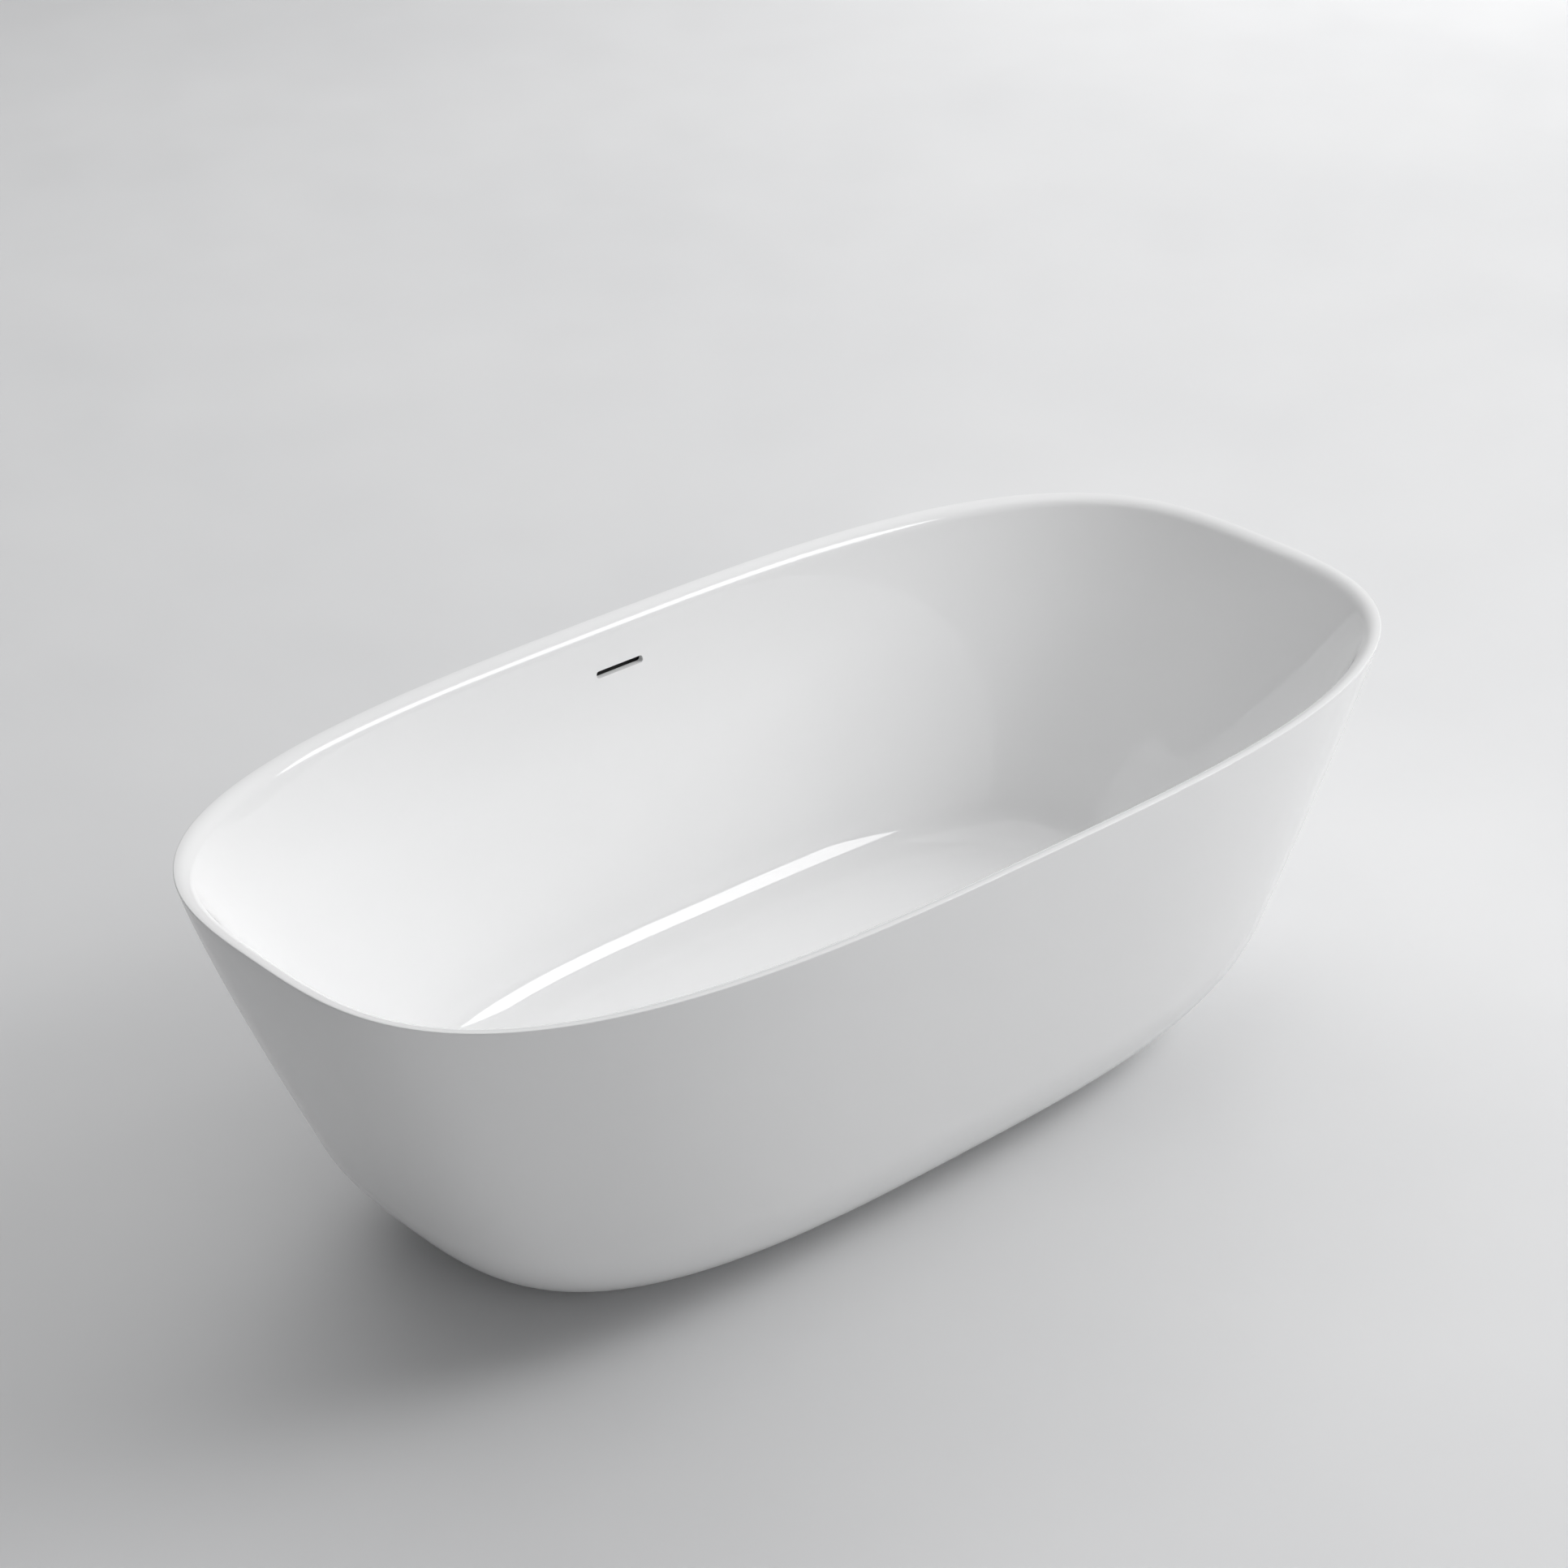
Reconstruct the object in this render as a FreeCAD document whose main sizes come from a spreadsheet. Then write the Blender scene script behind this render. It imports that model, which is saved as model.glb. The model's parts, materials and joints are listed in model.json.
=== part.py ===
"""Freestanding double-ended bathtub: a bonded basin and skirt on a steel sub-frame with screw feet.

Frame: +X along the length, +Y towards the overflow, +Z up, origin on the floor under the middle. Millimetres.
"""
import math
import os

import FreeCAD
import Part
import Sketcher

doc = FreeCAD.newDocument("bathtub")
sheet = doc.addObject("Spreadsheet::Sheet", "dims")

DIMENSIONS = {
    # outline of the tub
    "tub_length": 1700, "tub_width": 850, "tub_height": 560, "outline_power": 3.06,
    # skirt: half sizes of its straight wall run down to the floor, its bow, tuck-under and thickness
    "skirt_foot_x": 625.5, "skirt_foot_y": 313, "skirt_bow_x": 1.14, "skirt_bow_y": 1.02,
    "tuck_radius": 165, "skirt_bottom": 8, "skirt_wall": 5, "seam_height": 550,
    # basin: rim, inner wall, floor
    "rim_flat": 2.5, "roll_radius": 24.5, "edge_radius": 1.5, "basin_wall": 8, "inside_floor": 132,
    "floor_edge_x": 530, "floor_edge_y": 224, "floor_fillet": 75,
    # overflow slot and the flat duct behind it with its sump
    "slot_length": 80, "slot_height": 9.2, "slot_level": 497,
    "duct_width": 96, "duct_depth": 8.5, "duct_wall": 2, "duct_above": 14, "duct_below": 190,
    "sump_width": 36, "sump_height": 34, "sump_depth": 22, "duct_spigot": 24, "seal_thickness": 1.5,
    "seal_gap": 0.2,
    # base board and its steel sub-frame
    "board_length": 900, "board_width": 400, "board_thickness": 18, "board_corner": 30, "board_hole": 60,
    "tube_size": 25, "tube_wall": 1.5, "rail_length": 860, "rail_place": 80, "cross_length": 300,
    "cross_place": 360, "cap_plate": 2, "cap_spigot": 12,
    "screw_radius": 2.45, "screw_reach": 13, "screw_head": 5, "screw_head_height": 3, "screw_hole": 2.75,
    "screw_near": 200, "screw_far": 405,
    "brace_width": 80, "brace_place": 250, "bond_gap": 0.5,
    # screw feet
    "foot_place_x": 360, "foot_place_y": 120, "sole_radius": 21, "sole_height": 3, "cup_radius": 20,
    "cup_height": 13, "stud_radius": 5.95, "stud_top": 97, "stud_hex": 17, "hex_height": 8,
    "spigot_radius": 5, "spigot_length": 9, "thread_radius": 6, "nut_size": 19, "nut_height": 10,
    "jam_height": 7, "stud_hole": 6.5, "running_gap": 0.05,
    # waste
    "basin_hole": 25, "flange_radius": 35, "flange_plate": 2.5, "neck_radius": 23.9, "neck_bore": 20,
    "neck_bottom": 98, "hub_radius": 10, "hub_bottom": 104, "hub_height": 6, "spoke_width": 4,
    "body_radius": 31, "body_bore": 27, "body_bottom": 44, "body_floor": 4, "collar_bottom": 96,
    "washer_height": 3, "outlet_radius": 20, "outlet_bore": 18, "outlet_bottom": 8,
    "inlet_level": 62, "inlet_reach": 58, "hose_radius": 10, "hose_bore": 8, "spigot_wall": 1.5,
    # click-clack plug
    "cap_radius": 33, "cap_plate_height": 3, "cap_crown": 1.6, "cap_slope": 5, "boss_radius": 7,
    "boss_height": 10, "seal_outer": 28, "seal_inner": 22, "seal_height": 2.4, "stem_radius": 4,
    "stem_shoulder": 5.8, "shoulder_height": 3, "stem_bottom": 104, "cartridge_radius": 8,
    "cartridge_bore": 6, "cartridge_bottom": 84, "cartridge_top": 126, "cartridge_end": 3,
    "spring_radius": 4.6, "spring_wire": 0.45, "spring_turns": 5,
    # hose clips
    "clip_band": 1, "clip_width": 9, "clip_gap": 0.4, "clip_screw_radius": 4, "clip_screw_length": 14,
    "clip_screw_standoff": 3.5,
}


def fill_sheet():
    for row, (name, number) in enumerate(DIMENSIONS.items(), start=1):
        sheet.set(f"A{row}", name)
        sheet.set(f"B{row}", str(number))
        sheet.setAlias(f"B{row}", name)
    doc.recompute()


fill_sheet()


def size(name):
    """A driving dimension, read from the sheet."""
    return float(sheet.get(name))


def bind(thing, **formulas):
    """Ties properties of an object to the sheet. A name starts with at_ for a place."""
    for name, formula in formulas.items():
        path = f".Placement.Base.{name[3:]}" if name.startswith("at_") else name
        thing.setExpression(path, formula)
    return thing


# ---------------------------------------------------------------- primitives bound to the sheet

def cylinder(name, radius, height, at_z, at_x="0", at_y="0"):
    thing = doc.addObject("Part::Cylinder", name)
    return bind(thing, Radius=radius, Height=height, at_x=at_x, at_y=at_y, at_z=at_z)


def level_cylinder(name, radius, height, axis, at_x, at_y, at_z):
    """A cylinder lying along axis, from the given place."""
    thing = cylinder(name, radius, height, at_z, at_x, at_y)
    thing.Placement.Rotation = FreeCAD.Rotation(FreeCAD.Vector(0, 0, 1), FreeCAD.Vector(*axis))
    return thing


def block(name, length, width, height, at_x, at_y, at_z):
    thing = doc.addObject("Part::Box", name)
    return bind(thing, Length=length, Width=width, Height=height, at_x=at_x, at_y=at_y, at_z=at_z)


def hexagon(name, across_flats, height, at_x, at_y, at_z):
    thing = doc.addObject("Part::Prism", name)
    thing.Polygon = 6
    corner = f"({across_flats}) / 2 / cos(30 deg)"
    return bind(thing, Circumradius=corner, Height=height, at_x=at_x, at_y=at_y, at_z=at_z)


def fused(name, parts):
    thing = doc.addObject("Part::MultiFuse", name)
    thing.Shapes = parts
    return thing


def cut(name, base, tool):
    thing = doc.addObject("Part::Cut", name)
    thing.Base = base
    thing.Tool = tool
    return thing


def group(name, parts):
    """Separate solids that share one node."""
    thing = doc.addObject("Part::Compound", name)
    thing.Links = parts
    return thing


def ring(name, outer, inner, height, at_z, at_x="0", at_y="0"):
    solid = cylinder(f"{name}_solid", outer, height, at_z, at_x, at_y)
    bore = cylinder(f"{name}_bore", inner, height, at_z, at_x, at_y)
    return cut(name, solid, bore)


# ---------------------------------------------------------------- sketched bodies bound to the sheet

def new_body(name):
    return doc.addObject("PartDesign::Body", name)


def new_sketch(body, name, role="XY_Plane"):
    plane = next(item for item in body.Origin.OriginFeatures if item.Role == role)
    sketch = body.newObject("Sketcher::SketchObject", name)
    sketch.AttachmentSupport = [(plane, "")]
    sketch.MapMode = "FlatFace"
    return sketch


def constrain(sketch, formula, *facts):
    index = sketch.addConstraint(Sketcher.Constraint(*facts))
    sketch.setExpression(f"Constraints[{index}]", formula)


def draw_rectangle(sketch, width, height):
    """A rectangle centred on the sketch's origin."""
    corners = [FreeCAD.Vector(x, y) for x, y in ((-9, -9), (9, -9), (9, 9), (-9, 9))]
    sides = [sketch.addGeometry(Part.LineSegment(corners[i], corners[(i + 1) % 4])) for i in range(4)]
    for i, side in enumerate(sides):
        sketch.addConstraint(Sketcher.Constraint("Coincident", side, 2, sides[(i + 1) % 4], 1))
        sketch.addConstraint(Sketcher.Constraint("Vertical" if i % 2 else "Horizontal", side))
    sketch.addConstraint(Sketcher.Constraint("Symmetric", sides[0], 1, sides[2], 1, -1, 1))
    constrain(sketch, width, "DistanceX", sides[0], 1, sides[0], 2, 18)
    constrain(sketch, height, "DistanceY", sides[1], 1, sides[1], 2, 18)


def draw_circle(sketch, radius, across="0", along="0", signs=(1, 1)):
    """A circle whose centre is signs times (across, along) from the sketch's origin."""
    centre = FreeCAD.Vector(5 * signs[0], 5 * signs[1])
    circle = sketch.addGeometry(Part.Circle(centre, FreeCAD.Vector(0, 0, 1), 2))
    constrain(sketch, radius, "Radius", circle, 2)
    for word, formula, sign in (("DistanceX", across, signs[0]), ("DistanceY", along, signs[1])):
        ends = (-1, 1, circle, 3) if sign > 0 else (circle, 3, -1, 1)
        constrain(sketch, formula, word, *ends, 5)


def pad(body, sketch, length, both_ways=False):
    feature = body.newObject("PartDesign::Pad", f"{body.Name}_pad")
    feature.Profile = sketch
    feature.Midplane = both_ways
    bind(feature, Length=length)
    sketch.Visibility = False
    return feature


def drill(body, sketch, depth):
    """A pocket that reaches depth both ways from the sketch's plane."""
    feature = body.newObject("PartDesign::Pocket", f"{sketch.Name}_pocket")
    feature.Profile = sketch
    feature.Midplane = True
    bind(feature, Length=depth)
    sketch.Visibility = False
    return feature


# ---------------------------------------------------------------- the tub's curved walls

RING_POINTS = 64
X_AXIS = FreeCAD.Vector(1, 0, 0)
Y_AXIS = FreeCAD.Vector(0, 1, 0)
Z_AXIS = FreeCAD.Vector(0, 0, 1)


def signed_power(number, power):
    return math.copysign(abs(number) ** power, number)


def outline(angle, half_x, half_y, inset=0.0):
    """A point of the bowed-rectangle outline (a superellipse), moved inwards by inset, and its normal."""
    power = size("outline_power")
    c, s = math.cos(angle), math.sin(angle)
    if abs(c) < 1e-12:
        c = 0.0
    if abs(s) < 1e-12:
        s = 0.0
    x, y = half_x * signed_power(c, 2 / power), half_y * signed_power(s, 2 / power)
    nx, ny = signed_power(c, 2 - 2 / power) / half_x, signed_power(s, 2 - 2 / power) / half_y
    length = math.hypot(nx, ny)
    normal = FreeCAD.Vector(nx / length, ny / length, 0)
    return FreeCAD.Vector(x, y, 0) - normal * inset, normal


def angles():
    return [2 * math.pi * i / RING_POINTS for i in range(RING_POINTS)]


def shares_along(points):
    """Each point's share of the whole length of the line through the points."""
    marks = [0.0]
    for here, there in zip(points, points[1:]):
        marks.append(marks[-1] + here.distanceToPoint(there))
    return [mark / marks[-1] for mark in marks]


def skinned(rings):
    """A closed solid with one smooth wall through the rings, from the first, flat one to the last."""
    rim = [outline(angle, size("tub_length") / 2, size("tub_width") / 2)[0] for angle in angles()]
    round_shares = shares_along(rim + rim[:1])
    columns = []
    for ring_points in rings:
        around = Part.BSplineCurve()
        around.interpolate(Points=ring_points, Parameters=round_shares, PeriodicFlag=True)
        columns.append(around.getPoles())
    up_shares = shares_along([ring_points[0] for ring_points in rings])
    poles = []
    for column in zip(*columns):
        up = Part.BSplineCurve()
        up.interpolate(Points=list(column), Parameters=up_shares)
        poles.append(up.getPoles())
    surface = Part.BSplineSurface()
    surface.buildFromPolesMultsKnots(poles, around.getMultiplicities(), up.getMultiplicities(),
                                     around.getKnots(), up.getKnots(), True, False, around.Degree, up.Degree)
    wall = surface.toShape()
    ends = [Part.Face(Part.Wire([edge])) for edge in wall.Edges if edge.BoundBox.ZLength < 0.001]
    shell = Part.makeShell([wall] + ends)
    shell.sewShape()
    return Part.makeSolid(shell)


def skirt_line(level):
    """Half sizes of the skirt's bowed wall at a level, before the tuck-under."""
    left = 1 - level / size("tub_height")
    spread_x = (size("tub_length") / 2 - size("skirt_foot_x")) * (1 - left ** size("skirt_bow_x"))
    spread_y = (size("tub_width") / 2 - size("skirt_foot_y")) * (1 - left ** size("skirt_bow_y"))
    return size("skirt_foot_x") + spread_x, size("skirt_foot_y") + spread_y


def skirt_ring(level, depth):
    """The skirt's outline at a level, depth inside its outer face."""
    half_x, half_y = skirt_line(level)
    radius = size("tuck_radius")
    tuck = depth
    if level < radius:
        tuck = radius - math.sqrt((radius - depth) ** 2 - (radius - level) ** 2)
    return [outline(angle, half_x - tuck, half_y - tuck)[0] + Z_AXIS * level for angle in angles()]


def skirt_levels(bottom, top):
    """Levels from bottom to top, close together where the skirt tucks under."""
    radius = size("tuck_radius")
    start = math.acos((radius - bottom) / radius)
    tuck = [radius * (1 - math.cos(start + (math.pi / 2 - start) * i / 10)) for i in range(11)]
    return tuck + [radius + (top - radius) * share for share in (0.03, 0.08, 0.15, 0.26, 0.42, 0.6, 0.8, 1)]


def skirt_solid(depth, bottom, top):
    return skinned([skirt_ring(level, depth) for level in skirt_levels(bottom, top)])


def basin_section(angle):
    """The rim outline's point and normal, and the way from it to the floor's edge."""
    rim, normal = outline(angle, size("tub_length") / 2, size("tub_width") / 2)
    floor = outline(angle, size("floor_edge_x"), size("floor_edge_y"))[0]
    reach = (rim - floor).dot(normal)
    return rim, normal, floor, reach


def basin_point(angle, inward, level):
    """The point inward from the rim outline, swung round so that its line ends at the floor's edge."""
    rim, normal, floor, reach = basin_section(angle)
    straight = rim - normal * inward
    swing = floor - (rim - normal * reach)
    return straight + swing * (inward / reach) ** 2 + Z_AXIS * level


def wall_tilt(reach):
    """Angle from upright of the line that touches the rim's roll and the floor's fillet."""
    across = reach - size("rim_flat")
    down = size("tub_height") - size("roll_radius") - size("inside_floor") - size("floor_fillet")
    radii = size("roll_radius") + size("floor_fillet")
    return math.acos(radii / math.hypot(across, down)) - math.atan2(down, across)


def basin_rings(depth):
    """Rings from the rim's flat to the floor's edge, depth behind the basin's inner face."""
    roll, fillet = size("roll_radius") - depth, size("floor_fillet") + depth
    roll_level = size("tub_height") - size("roll_radius")
    fillet_level = size("inside_floor") + size("floor_fillet")
    stations = [("roll", i / 5) for i in range(6)]
    stations += [("wall", share) for share in (0.02, 0.06, 0.14, 0.28, 0.45, 0.62, 0.78, 0.9)]
    stations += [("fillet", i / 7) for i in range(8)]

    def place(angle, kind, share):
        reach = basin_section(angle)[3]
        tilt = wall_tilt(reach)
        top = (size("rim_flat") + roll * math.cos(tilt), roll_level + roll * math.sin(tilt))
        low = (reach - fillet * math.cos(tilt), fillet_level - fillet * math.sin(tilt))
        if kind == "roll":
            turn = math.pi / 2 + (tilt - math.pi / 2) * share
            inward, level = size("rim_flat") + roll * math.cos(turn), roll_level + roll * math.sin(turn)
        elif kind == "wall":
            inward, level = (a + (b - a) * share for a, b in zip(top, low))
        else:
            turn = tilt + (math.pi / 2 - tilt) * share
            inward, level = reach - fillet * math.cos(turn), fillet_level - fillet * math.sin(turn)
        return basin_point(angle, inward, level)

    return [[place(angle, *station) for angle in angles()] for station in stations]


def rim_rings():
    """Rings of the rim's outer side, from the seam up and over its rounded top edge."""
    radius, top = size("edge_radius"), size("tub_height")
    shape = [(0, size("seam_height")), (0, size("seam_height") + 3), (0, top - radius - 2)]
    turns = [math.pi / 2 * i / 4 for i in range(5)]
    shape += [(radius * (1 - math.cos(turn)), top - radius * (1 - math.sin(turn))) for turn in turns]
    return [[outline(angle, *skirt_line(level), inset)[0] + Z_AXIS * level for angle in angles()]
            for inset, level in shape]


def wall_at_side(level):
    """Y of the inner face of the long wall at mid-length, and the wall's tilt there."""
    reach = basin_section(math.pi / 2)[3]
    tilt = wall_tilt(reach)
    roll = size("roll_radius")
    start = size("rim_flat") + roll * math.cos(tilt)
    start_level = size("tub_height") - roll + roll * math.sin(tilt)
    inward = start + (start_level - level) * math.tan(tilt)
    return size("tub_width") / 2 - inward, tilt


def slot_prism(start_y, end_y):
    """The overflow slot's round-ended shape as a prism along Y."""
    half = size("slot_height") / 2
    reach = size("slot_length") / 2 - half
    middle = Part.makeBox(2 * reach, end_y - start_y, 2 * half)
    middle.translate(FreeCAD.Vector(-reach, start_y, size("slot_level") - half))
    solid = middle
    for side in (-1, 1):
        place = FreeCAD.Vector(side * reach, start_y, size("slot_level"))
        solid = solid.fuse(Part.makeCylinder(half, end_y - start_y, place, Y_AXIS))
    return solid.removeSplitter()


def shaped(name, shape):
    thing = doc.addObject("Part::Feature", name)
    thing.Shape = shape
    return thing


def make_basin_shell():
    slab = skinned(rim_rings())
    back = skinned(basin_rings(size("basin_wall")))
    hollow = skinned(basin_rings(0))
    solid = slab.fuse(back).cut(hollow)
    solid = solid.cut(Part.makeCylinder(size("basin_hole"), size("inside_floor")))
    wall_y = wall_at_side(size("slot_level"))[0]
    solid = solid.cut(slot_prism(wall_y - 20, wall_y + 20))
    return shaped("basin_shell", solid)


def make_apron_shell():
    bottom, top = size("skirt_bottom"), size("seam_height")
    inside = skirt_solid(size("skirt_wall"), bottom, top)
    return shaped("apron_shell", skirt_solid(0, bottom, top).cut(inside))


# ---------------------------------------------------------------- base board and sub-frame

BOARD_TOP = "(dims.inside_floor - dims.basin_wall)"
RAIL_TOP = f"({BOARD_TOP} - dims.board_thickness)"
CROSS_TOP = f"({RAIL_TOP} - dims.tube_size)"
CROSS_BOTTOM = f"({CROSS_TOP} - dims.tube_size)"


def make_base_board():
    body = new_body("base_board")
    outline_sketch = new_sketch(body, "board_outline")
    draw_rectangle(outline_sketch, "dims.board_length", "dims.board_width")
    plate = pad(body, outline_sketch, "dims.board_thickness")
    doc.recompute()
    corners = [f"Edge{i + 1}" for i, edge in enumerate(plate.Shape.Edges)
               if edge.BoundBox.ZLength > size("board_thickness") / 2]
    fillet = body.newObject("PartDesign::Fillet", "board_corners")
    fillet.Base = (plate, corners)
    bind(fillet, Radius="dims.board_corner")
    holes = new_sketch(body, "board_holes")
    draw_circle(holes, "dims.board_hole")
    for x in ("dims.screw_near", "dims.screw_far"):
        for signs in ((1, 1), (1, -1), (-1, 1), (-1, -1)):
            draw_circle(holes, "dims.screw_radius + dims.running_gap", x, "dims.rail_place", signs)
    drill(body, holes, "3 * dims.board_thickness")
    bind(body, at_z=RAIL_TOP)
    return body


def square_tube(name, role, length):
    """A square tube along the sketch plane's normal, centred on its own origin."""
    body = new_body(name)
    section = new_sketch(body, f"{name}_section", role)
    draw_rectangle(section, "dims.tube_size", "dims.tube_size")
    draw_rectangle(section, "dims.tube_size - 2 * dims.tube_wall", "dims.tube_size - 2 * dims.tube_wall")
    pad(body, section, length, both_ways=True)
    return body


def make_rail(name, side):
    body = square_tube(name, "YZ_Plane", "dims.rail_length")
    holes = new_sketch(body, f"{name}_holes")
    for x in ("dims.screw_near", "dims.screw_far"):
        for sign in (1, -1):
            draw_circle(holes, "dims.screw_hole", x, "0", (sign, 1))
    drill(body, holes, "2 * dims.tube_size")
    return bind(body, at_y=f"{side} * dims.rail_place", at_z=f"{RAIL_TOP} - dims.tube_size / 2")


def make_cross(name, side):
    body = square_tube(name, "XZ_Plane", "dims.cross_length")
    holes = new_sketch(body, f"{name}_holes")
    for sign in (1, -1):
        draw_circle(holes, "dims.stud_hole", "0", "dims.foot_place_y", (1, sign))
    drill(body, holes, "2 * dims.tube_size")
    return bind(body, at_x=f"{side} * dims.cross_place", at_z=f"{CROSS_TOP} - dims.tube_size / 2")


def make_tube_caps():
    """A square plug with a thin plate in each open tube end."""
    plate, spigot, tube = size("cap_plate"), size("cap_spigot"), size("tube_size")
    inside = tube - 2 * size("tube_wall") - 2 * size("running_gap")
    rail_level = size("inside_floor") - size("basin_wall") - size("board_thickness") - tube / 2
    caps = []
    ends = [(FreeCAD.Vector(sx * size("rail_length") / 2, sy * size("rail_place"), rail_level), 90 - 90 * sx)
            for sx in (-1, 1) for sy in (-1, 1)]
    ends += [(FreeCAD.Vector(sx * size("cross_place"), sy * size("cross_length") / 2, rail_level - tube),
              90 * sy) for sx in (-1, 1) for sy in (-1, 1)]
    for place, turn in ends:
        cap = Part.makeBox(plate, tube, tube, FreeCAD.Vector(0, -tube / 2, -tube / 2))
        corner = FreeCAD.Vector(-spigot, -inside / 2, -inside / 2)
        cap = cap.fuse(Part.makeBox(spigot, inside, inside, corner))
        cap.Placement = FreeCAD.Placement(place, FreeCAD.Rotation(Z_AXIS, turn))
        caps.append(cap)
    return shaped("tube_end_caps", Part.makeCompound(caps))


def make_frame_screws():
    screws = []
    for i, x in enumerate(("-dims.screw_far", "-dims.screw_near", "dims.screw_near", "dims.screw_far")):
        for k, side in enumerate((-1, 1)):
            place = {"at_x": x, "at_y": f"{side} * dims.rail_place"}
            shank = cylinder(f"screw_shank_{i}{k}", "dims.screw_radius", "dims.tube_size + dims.screw_reach",
                             CROSS_TOP, **place)
            head = doc.addObject("Part::Cone", f"screw_head_{i}{k}")
            bind(head, Radius1="dims.screw_head / 2", Radius2="dims.screw_head",
                 Height="dims.screw_head_height", at_z=f"{CROSS_TOP} - dims.screw_head_height", **place)
            screws.append(fused(f"screw_{i}{k}", [head, shank]))
    return group("frame_screws", screws)


def make_apron_braces():
    """Plywood braces from the board's edges to the skirt, cut to the skirt's inner face."""
    top = size("inside_floor") - size("basin_wall")
    thick, width = size("board_thickness"), size("brace_width")
    inside = skirt_solid(size("skirt_wall") + size("bond_gap"), size("skirt_bottom"), size("seam_height"))
    gap = size("running_gap")
    reach_x, reach_y = size("tub_length") / 2, size("tub_width") / 2
    start_x, start_y = size("board_length") / 2 + gap, size("board_width") / 2 + gap
    braces = []
    for sx in (-1, 1):
        for sy in (-1, 1):
            low_y = start_y if sy > 0 else -reach_y
            corner = FreeCAD.Vector(sx * size("brace_place") - width / 2, low_y, top - thick)
            braces.append(Part.makeBox(width, reach_y - start_y, thick, corner).common(inside))
        low_x = start_x if sx > 0 else -reach_x
        corner = FreeCAD.Vector(low_x, -width, top - thick)
        braces.append(Part.makeBox(reach_x - start_x, 2 * width, thick, corner).common(inside))
    return shaped("apron_braces", Part.makeCompound(braces))


# ---------------------------------------------------------------- screw feet

FOOT_SIDES = {"front_left": (-1, -1), "front_right": (1, -1), "back_left": (-1, 1), "back_right": (1, 1)}


def foot_place(sides):
    return {"at_x": f"{sides[0]} * dims.foot_place_x", "at_y": f"{sides[1]} * dims.foot_place_y"}


def make_foot(corner, sides):
    place = foot_place(sides)
    cup_top = "(dims.sole_height + dims.cup_height)"
    cylinder(f"foot_sole_{corner}", "dims.sole_radius", "dims.sole_height", "0", **place)
    cup = cylinder(f"cup_solid_{corner}", "dims.cup_radius", "dims.cup_height", "dims.sole_height", **place)
    socket = cylinder(f"cup_socket_{corner}", "dims.spigot_radius + dims.running_gap", "dims.spigot_length",
                      f"{cup_top} - dims.spigot_length", **place)
    cut(f"foot_cup_{corner}", cup, socket)
    spigot = cylinder(f"stud_spigot_{corner}", "dims.spigot_radius", "dims.spigot_length + dims.hex_height",
                      f"{cup_top} - dims.spigot_length", **place)
    hex_nut = hexagon(f"stud_hex_{corner}", "dims.stud_hex", "dims.hex_height", at_z=cup_top, **place)
    shank = cylinder(f"stud_shank_{corner}", "dims.stud_radius", f"dims.stud_top - {cup_top}", cup_top,
                     **place)
    fused(f"foot_stud_{corner}", [spigot, hex_nut, shank])


def make_nuts(name, height, level):
    """One hexagon nut round each foot's stud."""
    nuts = []
    for corner, sides in FOOT_SIDES.items():
        place = foot_place(sides)
        outside = hexagon(f"{name}_hex_{corner}", "dims.nut_size", height, at_z=level, **place)
        bore = cylinder(f"{name}_bore_{corner}", "dims.thread_radius", height, level, **place)
        nuts.append(cut(f"{name}_{corner}", outside, bore))
    return group(name, nuts)


# ---------------------------------------------------------------- waste and plug

FLANGE_LEVEL = "(dims.inside_floor + dims.seal_thickness)"
FLANGE_TOP = f"({FLANGE_LEVEL} + dims.flange_plate)"
CAP_LEVEL = f"({FLANGE_TOP} + dims.seal_height)"


def make_waste_flange():
    neck_height = f"{FLANGE_LEVEL} - dims.neck_bottom"
    plate = cylinder("flange_disc", "dims.flange_radius", "dims.flange_plate", FLANGE_LEVEL)
    neck = cylinder("flange_neck", "dims.neck_radius", neck_height, "dims.neck_bottom")
    bore = cylinder("flange_bore", "dims.neck_bore", f"{FLANGE_TOP} - dims.neck_bottom", "dims.neck_bottom")
    sleeve = cut("flange_sleeve", fused("flange_outside", [plate, neck]), bore)
    spokes = [block("flange_spoke_x", "2 * dims.neck_bore + 2", "dims.spoke_width", "dims.hub_height",
                    "-dims.neck_bore - 1", "-dims.spoke_width / 2", "dims.hub_bottom"),
              block("flange_spoke_y", "dims.spoke_width", "2 * dims.neck_bore + 2", "dims.hub_height",
                    "-dims.spoke_width / 2", "-dims.neck_bore - 1", "dims.hub_bottom")]
    hub = cylinder("flange_hub", "dims.hub_radius", "dims.hub_height", "dims.hub_bottom")
    hub_bore = cylinder("flange_hub_bore", "dims.cartridge_radius + dims.running_gap", "dims.hub_height",
                        "dims.hub_bottom")
    return cut("waste_flange", fused("flange_whole", [sleeve, hub] + spokes), hub_bore)


def make_waste_seals():
    ring("waste_gasket", "dims.flange_radius - 2", "dims.basin_hole", "dims.seal_thickness",
         "dims.inside_floor")
    ring("waste_washer", "dims.flange_radius", "dims.basin_hole", "dims.washer_height",
         f"{BOARD_TOP} - dims.washer_height")


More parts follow.
